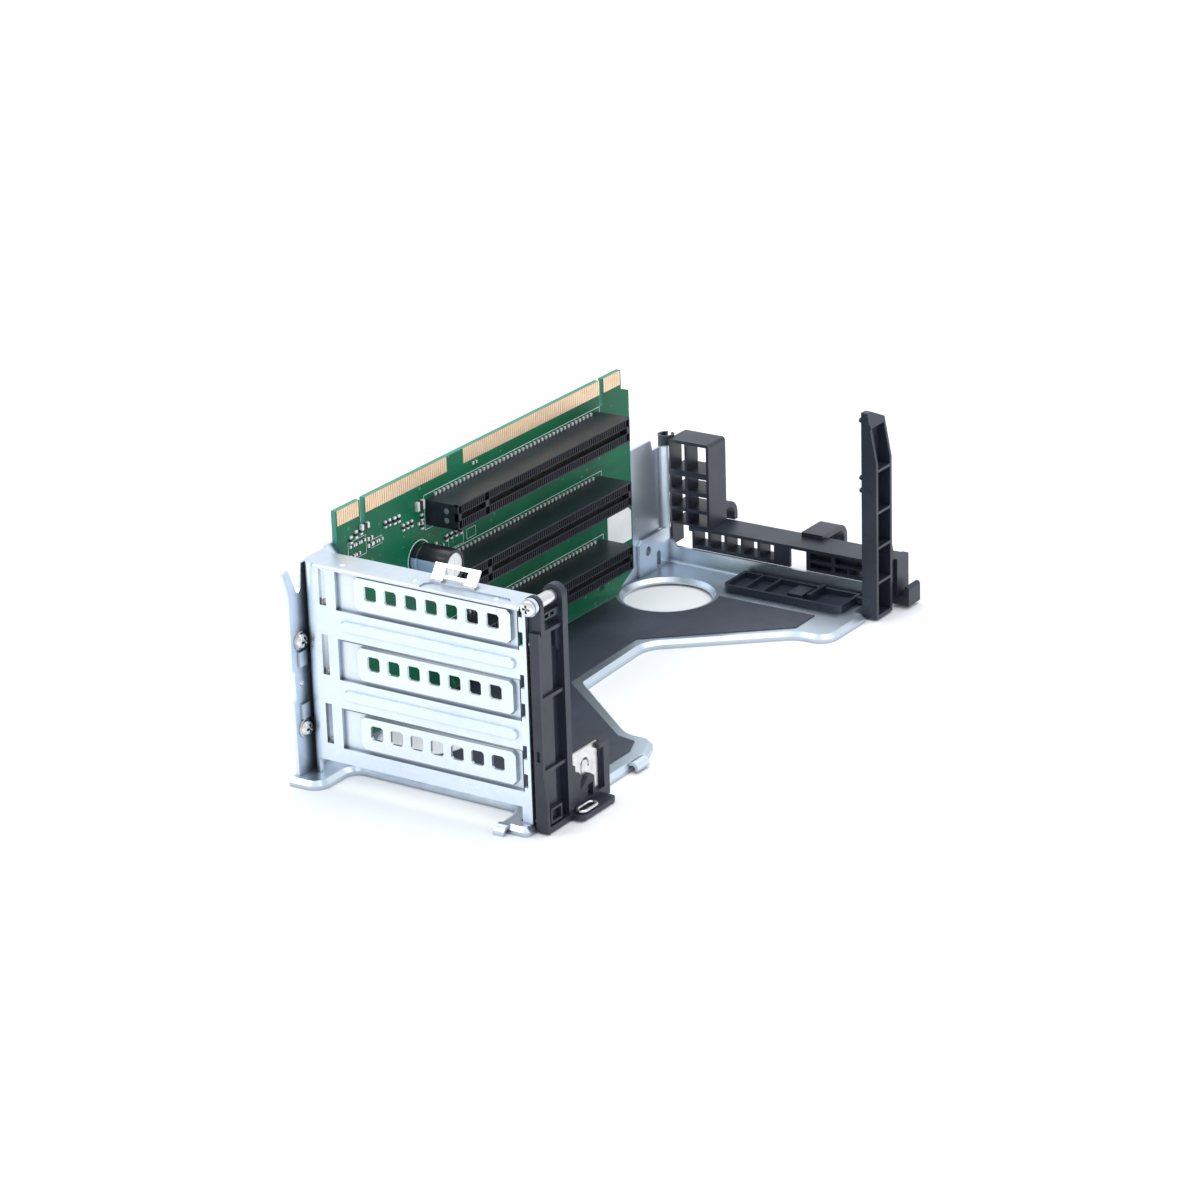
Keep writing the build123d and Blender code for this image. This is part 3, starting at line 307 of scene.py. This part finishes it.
MATS = {
    # The last number of each zinc is how far its painted corner shade reaches, in metres
    "zinc_steel": zinc("zinc_steel", (0.80, 0.87, 0.95), (0.68, 0.77, 0.87), 420.0, 0.0032),
    "blank_steel": zinc("blank_steel", (0.82, 0.88, 0.95), (0.72, 0.79, 0.88), 600.0, 0.007),
    "spring_steel": metal("spring_steel", (0.86, 0.86, 0.86), (0.68, 0.67, 0.66), 0.2),
    "black_plastic": plastic("black_plastic", (0.014, 0.018, 0.030), 0.32, 0.44),
    "connector_plastic": plastic("connector_plastic", (0.011, 0.013, 0.019), 0.32, 0.45),
    "insulator_film": plastic("insulator_film", (0.034, 0.040, 0.058), 0.42, 0.55, 0.2),
    "board_green": board_green(),
    "gold": metal("gold", (1.0, 0.80, 0.58), (0.96, 0.68, 0.44), 0.36, 0.6),
    "solder": metal("solder", (0.94, 0.94, 0.92), (0.80, 0.81, 0.82), 0.3, 0.2),
    # A darker, browner copy of the spring steel: its darkness is painted shade for contacts deep in the
    # slots and springs behind the wall
    "shaded_contact_metal": metal("shaded_contact_metal", (0.46, 0.42, 0.38), (0.30, 0.27, 0.24), 0.32),
    "capacitor_sleeve": capacitor_sleeve(),
    "chip_black": plastic("chip_black", (0.015, 0.015, 0.016), 0.45, 0.6),
    "label_white": plastic("label_white", (0.78, 0.79, 0.79), 0.55, 0.7),
    "laminate": plastic("laminate", (0.46, 0.27, 0.14), 0.5, 0.65),
    "board_ink": plastic("board_ink", (0.72, 0.78, 0.74), 0.6, 0.75),
    "moulding_mark": plastic("moulding_mark", (0.16, 0.17, 0.19), 0.4, 0.5),
}

# Nodes whose finish isn't their slot's own: the contact springs get a darker copy of the spring steel,
# with painted shade
OWN_FINISH = {"contact_springs": "shaded_contact_metal"}
for sub in frame["record"]["subparts"]:
    node = frame["nodes"][sub["node"]]
    node.data.materials.clear()
    node.data.materials.append(MATS[OWN_FINISH.get(sub["node"], sub["material_slot"])])


class Shape:
    """Collects the faces of one added piece, in millimetres."""

    def __init__(self):
        self.points = []
        self.faces = []

    def loft(self, rings, closed=False):
        """Skins through rings that have the same number of points, and caps the ends of an open run."""
        first = len(self.points)
        size = len(rings[0])
        count = len(rings)
        for ring in rings:
            self.points += [tuple(point) for point in ring]
        for i in range(count if closed else count - 1):
            here = first + i * size
            there = first + (i + 1) % count * size
            for k in range(size):
                m = (k + 1) % size
                self.faces.append((here + k, here + m, there + m, there + k))
        if not closed:
            last = first + (count - 1) * size
            self.faces.append(tuple(range(first, first + size)))
            self.faces.append(tuple(range(last, last + size)))

    def slab(self, low, high, bevel=0.05, flip=False):
        """A block whose outer end along X, or inner end if flipped, has its edges broken."""
        start, end = (high[0], low[0]) if flip else (low[0], high[0])
        shoulder = end - math.copysign(bevel, end - start)
        rings = []
        for x, inset in ((start, 0.0), (shoulder, 0.0), (end, bevel)):
            y0, z0 = low[1] + inset, low[2] + inset
            y1, z1 = high[1] - inset, high[2] - inset
            rings.append(((x, y0, z0), (x, y1, z0), (x, y1, z1), (x, y0, z1)))
        self.loft(rings)

    def lathe(self, centre, axis, profile, steps):
        """Revolves (distance along the axis, radius) pairs about the axis through the centre."""
        u, v = [i for i in range(3) if i != axis]
        rings = []
        for along, radius in profile:
            ring = []
            for k in range(steps):
                angle = 2 * math.pi * k / steps
                point = list(centre)
                point[axis] += along
                point[u] += radius * math.cos(angle)
                point[v] += radius * math.sin(angle)
                ring.append(point)
            rings.append(ring)
        self.loft(rings)

    def cross_head(self, centre, axis, sign, radius, height, arm, reach, depth):
        """Domed head with a cross recess: rings from the rim to the middle, lowered in the recess."""
        u, v = [i for i in range(3) if i != axis]
        rings = []
        for share in [math.sqrt(1 - (i / HEAD_RINGS) ** 2) for i in range(HEAD_RINGS)] + [0.02]:
            dome = height * math.sqrt(1 - share ** 2)
            ring = []
            for k in range(HEAD_STEPS):
                angle = 2 * math.pi * k / HEAD_STEPS
                a = radius * share * math.cos(angle)
                b = radius * share * math.sin(angle)
                in_cross = min(abs(a), abs(b)) < arm and max(abs(a), abs(b)) < reach
                rise = dome - depth if in_cross else dome
                point = list(centre)
                point[axis] += sign * rise
                point[u] += a
                point[v] += b
                ring.append(point)
            rings.append(ring)
        self.loft(rings)

    def wire(self, path, radius):
        """A round wire along a closed path that lies flat in X and Y."""
        up = Vector((0, 0, 1))
        rings = []
        for i, place in enumerate(path):
            ahead = Vector(path[(i + 1) % len(path)])
            behind = Vector(path[i - 1])
            side = (ahead - behind).normalized().cross(up)
            ring = []
            for k in range(WIRE_STEPS):
                angle = 2 * math.pi * k / WIRE_STEPS
                offset = side * (radius * math.cos(angle)) + up * (radius * math.sin(angle))
                ring.append(Vector(place) + offset)
            rings.append(ring)
        self.loft(rings, closed=True)

    def build(self, name, slot, body="cage", finish=None):
        """Makes the object, in metres, with soft shading that stays crisp at its edges."""
        mesh = bpy.data.meshes.new(name)
        mesh.from_pydata([Vector(point) * MM for point in self.points], [], self.faces)
        work = bmesh.new()
        work.from_mesh(mesh)
        bmesh.ops.recalc_face_normals(work, faces=work.faces)
        work.to_mesh(mesh)
        work.free()
        mesh.shade_smooth()
        mesh.set_sharp_from_angle(angle=math.radians(34))
        mesh.materials.append(MATS[finish or slot])
        piece = bpy.data.objects.new(name, mesh)
        bpy.context.scene.collection.objects.link(piece)
        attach(piece, body)
        return piece


def contact_runs(y0, y1):
    """Start, end and number of contacts of a slot's two runs, one each side of the key."""
    key = y0 + KEY_FROM_END
    runs = []
    for start, end in ((y0 + RUN_FROM_END, key - KEY_HALF), (key + KEY_HALF, y1 - RUN_FROM_END)):
        runs.append((start, end, int(end - start + 0.01) - 1))
    return runs


def connector(name):
    """Card connector: core, rails, and thin ribs that part the contact cells on its front."""
    (x0, y0, z0), (x1, y1, z1) = node_box(name)
    slot_z0 = (z0 + z1) / 2 - SLOT_HALF
    slot_z1 = (z0 + z1) / 2 + SLOT_HALF
    floor_x = x1 - SLOT_DEPTH
    back = x1 - CELL_DEPTH
    runs = contact_runs(y0, y1)
    body = Shape()
    body.slab((x0, y0, slot_z1), (back, y1, z1))
    body.slab((x0, y0, z0), (back, y1, slot_z0))
    body.slab((x0, y0, slot_z0), (floor_x, y1, slot_z1))
    for start, end in ((y0, runs[0][0]), (runs[0][1], runs[1][0]), (runs[1][1], y1)):
        body.slab((floor_x, start, slot_z0), (back, end, slot_z1))
        body.slab((back, start, slot_z0 - LIP), (x1, end, slot_z1 + LIP), bevel=0.08)
    rails = ((z1 - RAIL, z1), (z0, z0 + RAIL))
    lips = ((slot_z1, slot_z1 + LIP), (slot_z0 - LIP, slot_z0))
    for low, high in rails + lips:
        body.slab((back, y0, low), (x1, y1, high), bevel=0.07)
    for start, end in ((y0, y0 + RAIL), (y1 - RAIL, y1)):
        body.slab((back, start, z0), (x1, end, z1), bevel=0.07)
    bite = 0.05
    bands = ((slot_z1 + LIP - bite, z1 - RAIL + bite), (z0 + RAIL - bite, slot_z0 - LIP + bite))
    for start, _, count in runs:
        for i in range(count + 1):
            y = start + 0.5 * CONTACT_PITCH + i * CONTACT_PITCH
            for low, high in bands:
                body.slab((back, y - RIB_HALF, low), (x1 - RIB_SET_BACK, y + RIB_HALF, high))
    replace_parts(body.build("comb_" + name, "connector_plastic"), name)
    marks = Shape()
    disc = ((0.0, 0.85), (-0.08, 0.85), (-0.14, 0.6), (-0.14, 0.02))
    for drop in (2.3, 5.1):
        marks.lathe((x0 + 7.2, y0, z1 - drop), Y_AXIS, disc, steps=24)
    marks.build("marks_" + name, "connector_plastic", finish="moulding_mark")


def slot_contacts():
    """Spring contacts along both walls of each slot."""
    contacts = Shape()
    for name in CONNECTORS:
        (_, y0, z0), (x1, y1, z1) = node_box(name)
        middle = (z0 + z1) / 2
        for start, _, count in contact_runs(y0, y1):
            for i in range(count):
                y = start + CONTACT_PITCH + i * CONTACT_PITCH
                for z in (middle + SLOT_HALF - CONTACT_T, middle - SLOT_HALF):
                    low = (x1 - CONTACT_FROM, y - CONTACT_HALF, z)
                    high = (x1 - CONTACT_TO, y + CONTACT_HALF, z + CONTACT_T)
                    contacts.slab(low, high, bevel=0.1)
    # The contacts take the darker copy of the spring steel, painted shade deep in the slots
    contacts.build("slot_contacts", "spring_steel", finish="shaded_contact_metal")


def solder_rows():
    """Solder joints under each connector, as the frame has above it."""
    count, pitch, half = 41, 2.0, 0.45
    from_end, length, height = 4.5, 0.9, 0.6
    rows = Shape()
    for name in CONNECTORS:
        _, y0, z0 = node_box(name)[0]
        for i in range(count):
            y = y0 + from_end + i * pitch
            rows.slab((BOARD_FACE, y - half, z0 - length), (BOARD_FACE + height, y + half, z0), bevel=0.2)
    rows.build("solder_rows", "solder")


def outline(shape, y0, z0, y1, z1, width=0.16):
    """A thin printed frame on the board."""
    sides = (
        ((y0, z0), (y1, z0 + width)),
        ((y0, z1 - width), (y1, z1)),
        ((y0, z0), (y0 + width, z1)),
        ((y1 - width, z0), (y1, z1)),
    )
    for low, high in sides:
        shape.slab((BOARD_FACE, *low), (BOARD_FACE + INK_T, *high), bevel=0.01)


def finger_backs():
    """Bare strips of the board behind each group of gold fingers, and the fingers of the back face."""
    fingers = sorted(node_blocks("gold_fingers"))
    rear = Shape()
    for (y0, z0), (y1, z1), thick in fingers:
        rear.slab((BOARD_BACK - thick, y0, z0), (BOARD_BACK, y1, z1), bevel=0.01, flip=True)
    rear.build("rear_fingers", "gold")
    notch = 1.0
    strips = Shape()
    first = fingers[0]
    for finger, following in zip(fingers, fingers[1:] + [None]):
        end = finger[1][0]
        if following and following[0][0] - end <= notch:
            continue
        low = (first[0][0] - STRIP_MARGIN, first[0][1] - 0.1)
        high = (end + STRIP_MARGIN, BOARD_TOP)
        strips.slab((BOARD_FACE, *low), (BOARD_FACE + STRIP_T, *high), bevel=0.005)
        strips.slab((BOARD_BACK - STRIP_T, *low), (BOARD_BACK, *high), bevel=0.005, flip=True)
        first = following
    strips.build("bare_laminate", "board_green", finish="laminate")


# Small printed frames on the board: lowest and highest corner, in Y and Z
PRINTED_FRAMES = (
    (23.0, 56.4, 31.4, 61.9),
    (70.0, 44.6, 77.4, 48.2),
    (79.0, 45.0, 83.6, 48.0),
    (33.6, 57.0, 38.8, 59.4),
)


def board_print():
    """Printed outlines round the connectors, the capacitor and the small parts."""
    ink = Shape()
    for name in CONNECTORS:
        (_, y0, z0), (_, y1, z1) = node_box(name)
        outline(ink, y0 - 0.8, z0 - 1.5, y1 + 0.8, z1 + 1.5)
    for corners in PRINTED_FRAMES:
        outline(ink, *corners, width=0.12)
    ring = ((0.0, 5.7), (0.04, 5.7), (0.04, 5.4), (0.0, 5.4))
    ink.lathe((BOARD_FACE, CAP_Y, CAP_Z), X_AXIS, ring, steps=48)
    ink.build("board_print", "label_white", finish="board_ink")


# Surface parts with metal ends: place along Y, depth under the board's top, along Y, along Z, thickness
SURFACE_PARTS = (
    (24.2, 10.2, 1.0, 1.8, 0.6),
    (26.6, 9.3, 1.0, 1.8, 0.6),
    (29.0, 9.0, 1.0, 1.8, 0.6),
    (32.8, 12.4, 1.8, 1.0, 0.6),
    (32.8, 14.4, 1.8, 1.0, 0.6),
    (44.6, 11.0, 1.0, 1.8, 0.6),
    (46.6, 11.0, 1.0, 1.8, 0.6),
    (57.4, 14.0, 1.0, 1.6, 0.6),
    (57.4, 16.6, 1.0, 1.6, 0.6),
    (68.6, 23.8, 1.0, 1.7, 0.7),
    (71.0, 23.8, 1.0, 1.7, 0.7),
    (73.4, 23.8, 1.0, 1.7, 0.7),
    (75.8, 23.8, 1.0, 1.7, 0.7),
    (66.0, 25.4, 1.8, 1.0, 0.7),
    (63.4, 24.6, 1.0, 1.8, 0.7),
)


def surface_parts():
    """Small chips beside the ones in the frame, and metal ends on all of them."""
    end_share, solder, proud = 0.26, 0.25, 0.04
    chips = Shape()
    ends = Shape()
    blocks = []
    for y, depth, wide, tall, thick in SURFACE_PARTS:
        z = BOARD_TOP - depth
        block = ((y - wide / 2, z - tall / 2), (y + wide / 2, z + tall / 2), thick)
        blocks.append(block)
        chips.slab((BOARD_FACE, *block[0]), (BOARD_FACE + thick, *block[1]), bevel=0.08)
    blocks += node_blocks("board_components")
    for (y0, z0), (y1, z1), thick in blocks:
        cap = end_share * max(y1 - y0, z1 - z0)
        if y1 - y0 > z1 - z0:
            first = ((y0 - solder, z0 - proud), (y0 + cap, z1 + proud))
            second = ((y1 - cap, z0 - proud), (y1 + solder, z1 + proud))
        else:
            first = ((y0 - proud, z0 - solder), (y1 + proud, z0 + cap))
            second = ((y0 - proud, z1 - cap), (y1 + proud, z1 + solder))
        for low, high in (first, second):
            ends.slab((BOARD_FACE, *low), (BOARD_FACE + thick + 0.03, *high), bevel=0.1)
    chips.build("small_chips", "chip_black")
    ends.build("chip_ends", "solder")


def node_blocks(name):
    """Box in the board's plane, and height, of each separate block of a node."""
    work = bmesh.new()
    work.from_mesh(frame["nodes"][name].data)
    bmesh.ops.remove_doubles(work, verts=work.verts, dist=1e-6)
    seen = set()
    blocks = []
    for start in work.verts:
        if start in seen:
            continue
        group = [start]
        seen.add(start)
        for vert in group:
            for edge in vert.link_edges:
                other = edge.other_vert(vert)
                if other not in seen:
                    seen.add(other)
                    group.append(other)
        low = [min(vert.co[i] for vert in group) / MM for i in range(3)]
        high = [max(vert.co[i] for vert in group) / MM for i in range(3)]
        blocks.append(((low[1], low[2]), (high[1], high[2]), high[0] - low[0]))
    work.free()
    return blocks


def capacitor():
    """Sleeved can with a crimped foot and a scored metal top."""
    radius = (CAP_HIGH[1] - CAP_LOW[1]) / 2
    length = CAP_HIGH[0] - CAP_LOW[0]
    groove = radius - 0.3
    profile = (
        (0.0, radius - 0.5),
        (0.5, radius - 0.15),
        (1.2, radius),
        (1.9, radius),
        (2.2, groove),
        (2.6, groove),
        (2.9, radius),
        (length - 0.8, radius),
        (length - 0.25, radius - 0.25),
        (length, radius - 0.8),
        (length - 0.05, radius - 1.1),
        (length - 0.5, radius - 1.15),
    )
    can = Shape()
    can.lathe((CAP_LOW[0], CAP_Y, CAP_Z), X_AXIS, profile, steps=56)
    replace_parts(can.build("capacitor_can", "capacitor_sleeve"), "capacitor")
    top = Shape()
    rim = radius - 1.0
    centre = (CAP_HIGH[0] - 0.45, CAP_Y, CAP_Z)
    top.cross_head(centre, X_AXIS, 1, rim, height=0.25, arm=0.14, reach=rim * 0.8, depth=0.12)
    top.build("capacitor_top", "solder")


def ear_screws():
    """Pan heads with a cross recess on a pressed washer, and their shanks through the ear."""
    (x0, y0, z0), (_, y1, z1) = node_box("ear_screws")
    radius = (y1 - y0) / 2
    y = (y0 + y1) / 2
    seat = x0 + 1.0
    washer = ((0.0, radius), (0.35, radius), (0.5, radius - 0.35), (0.55, radius - 0.6))
    shank = ((0.0, 0.9), (0.3, 1.25), (2.7, 1.25))
    screws = Shape()
    for z in (z0 + radius, z1 - radius):
        screws.lathe((seat, y, z), X_AXIS, washer, steps=48)
        head = (seat + 0.5, y, z)
        screws.cross_head(head, X_AXIS, 1, radius - 0.45, height=1.5, arm=0.34, reach=1.35, depth=0.8)
        screws.lathe((x0 - 1.6, y, z), X_AXIS, shank, steps=24)
    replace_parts(screws.build("cross_screws", "spring_steel"), "ear_screws")


def hinge_pin():
    """Pin with a domed cross head in front and a rounded end behind."""
    (x0, y0, z0), (x1, y1, z1) = node_box("hinge_pin")
    x, z = (x0 + x1) / 2, (z0 + z1) / 2
    length = y1 - y0
    radius = (x1 - x0) / 2
    dome = 0.75
    shaft = radius - 0.35
    groove = shaft - 0.25
    profile = (
        (dome, radius),
        (2 * dome, radius),
        (2 * dome, shaft),
        (length - 1.4, shaft),
        (length - 1.3, groove),
        (length - 0.9, groove),
        (length - 0.8, shaft),
        (length - 0.3, shaft),
        (length, shaft - 0.35),
    )
    pin = Shape()
    pin.cross_head((x, y0 + dome, z), Y_AXIS, -1, radius, dome, arm=0.28, reach=1.15, depth=0.55)
    pin.lathe((x, y0, z), Y_AXIS, profile, steps=48)
    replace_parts(pin.build("cross_pin", "spring_steel"), "hinge_pin")


def wire_loop():
    """Round wire bent into a flat oval."""
    (x0, y0, z0), (x1, y1, z1) = node_box("latch_wire_loop")
    wire = (z1 - z0) / 2
    bend = (x1 - x0) / 2 - wire
    x, z = (x0 + x1) / 2, (z0 + z1) / 2
    path = []
    for turn, y in ((0.0, y1 - wire - bend), (math.pi, y0 + wire + bend)):
        for k in range(BEND_STEPS + 1):
            angle = turn + math.pi * k / BEND_STEPS
            path.append((x + bend * math.cos(angle), y + bend * math.sin(angle), z))
    loop = Shape()
    loop.wire(path, wire)
    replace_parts(loop.build("round_wire_loop", "spring_steel", "latch"), "latch_wire_loop")


def latch_details():
    """Sprung metal bit in the foot recess of the latch."""
    x0, y0, z0 = node_box("card_latch")[0]
    panel = x0 + 2.1
    bit = Shape()
    bit.slab((panel + 0.05, y0 + 3.3, z0 + 2.9), (panel + 0.5, y0 + 6.6, z0 + 5.6), bevel=0.12)
    bit.slab((panel + 0.45, y0 + 3.7, z0 + 3.3), (panel + 0.9, y0 + 6.2, z0 + 4.1), bevel=0.12)
    bit.build("latch_foot_spring", "spring_steel", "latch")


def sheet_details():
    """Pressed dimples on the top flange, one of them in the recess under the clip."""
    flange = node_box("top_clip")[0][2]
    dome = ((0.0, 1.0), (0.08, 0.86), (0.2, 0.66), (0.27, 0.4), (0.3, 0.1))
    dimples = Shape()
    for x, drop in ((-0.6, 0.0), (23.6, 0.0), (50.0, 0.4)):
        dimples.lathe((x, 3.3, flange - drop), Z_AXIS, dome, steps=28)
    dimples.build("flange_dimples", "zinc_steel")


def board_label():
    """Blank label with one corner cut."""
    (x0, y0, z0), (x1, y1, z1) = node_box("board_label")
    cut = 1.6
    corners = ((y0, z0), (y1, z0), (y1, z1 - cut), (y1 - cut, z1), (y0, z1))
    label = Shape()
    label.loft([[(x, y, z) for y, z in corners] for x in (x0, x1)])
    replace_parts(label.build("cut_label", "label_white"), "board_label")


def post_details():
    """Pegs and ejector marks of the support post."""
    (x0, y0, z0), (_, _, z1) = node_box("support_post")
    peg = ((0.0, 0.8), (-1.1, 0.8), (-1.4, 0.55))
    mark = ((0.0, 1.5), (-0.07, 1.5), (-0.07, 1.3), (-0.02, 1.25))
    pegs = Shape()
    for z in (z1 - 2.9, z0 + 44.0, z0 + 40.0):
        pegs.lathe((x0, y0 + 1.6, z), X_AXIS, peg, steps=24)
    for z in (z0 + 60.4, z0 + 39.9, z0 + 25.4, z0 + 5.4):
        pegs.lathe((x0 + 1.9, y0, z), Y_AXIS, mark, steps=32)
    pegs.build("post_pegs", "black_plastic")


for connector_name in CONNECTORS:
    connector(connector_name)
slot_contacts()
solder_rows()
finger_backs()
board_print()
surface_parts()
capacitor()
ear_screws()
hinge_pin()
wire_loop()
latch_details()
sheet_details()
board_label()
post_details()

# Floor, lights and surroundings
FLOOR_HALF = 6.0
LIGHTS_LOOK_AT = Vector((0.02, 0.09, 0.03))
floor_mesh = bpy.data.meshes.new("floor")
floor_mesh.from_pydata(
    [(FLOOR_HALF * x, FLOOR_HALF * y, 0) for x, y in ((-1, -1), (1, -1), (1, 1), (-1, 1))],
    [],
    [(0, 1, 2, 3)],
)
floor = bpy.data.objects.new("floor", floor_mesh)
bpy.context.scene.collection.objects.link(floor)
floor_look = Graph("floor")
floor_mesh.materials.append(floor_look.set(color=(0.95, 0.95, 0.95), rough=0.85, spec=0.2))


def area_light(name, place, size, power):
    """A soft light that looks at the middle of the part."""
    data = bpy.data.lights.new(name, "AREA")
    data.shape = "RECTANGLE"
    data.size, data.size_y = size
    data.energy = power
    light = bpy.data.objects.new(name, data)
    light.location = place
    light.rotation_euler = (LIGHTS_LOOK_AT - light.location).to_track_quat("-Z", "Y").to_euler()
    bpy.context.scene.collection.objects.link(light)


area_light("key", (-0.7, -0.8, 1.1), (0.7, 0.7), 4.0)
area_light("fill", (1.4, 0.2, 0.8), (0.8, 0.8), 2.5)
area_light("top", (0.1, 0.5, 1.5), (1.6, 1.2), 9.0)

world = bpy.data.worlds.new("studio")
bpy.context.scene.world = world
world.use_nodes = True
background = world.node_tree.nodes["Background"]
background.inputs["Color"].default_value = (0.90, 0.95, 1.0, 1.0)
background.inputs["Strength"].default_value = 0.98
bpy.context.scene.view_settings.view_transform = "Standard"

# Camera: place and axes solved from the photograph, in metres
CAMERA_PLACE = (0.63195, -0.81256, 0.44702)
CAMERA_RIGHT = Vector((0.835627, 0.548496, -0.029654))
CAMERA_BACK = Vector((0.521174, -0.774636, 0.358213))
FOCAL_MM = 122.01
camera_data = bpy.data.cameras.new("camera")
camera_data.sensor_width = 36.0
camera_data.lens = FOCAL_MM
camera_data.clip_start = 0.01
camera = bpy.data.objects.new("camera", camera_data)
back = CAMERA_BACK.normalized()
right = (CAMERA_RIGHT - back * CAMERA_RIGHT.dot(back)).normalized()
axes = Matrix((right, back.cross(right), back)).transposed().to_4x4()
camera.matrix_world = Matrix.Translation(CAMERA_PLACE) @ axes
bpy.context.scene.collection.objects.link(camera)
bpy.context.scene.camera = camera
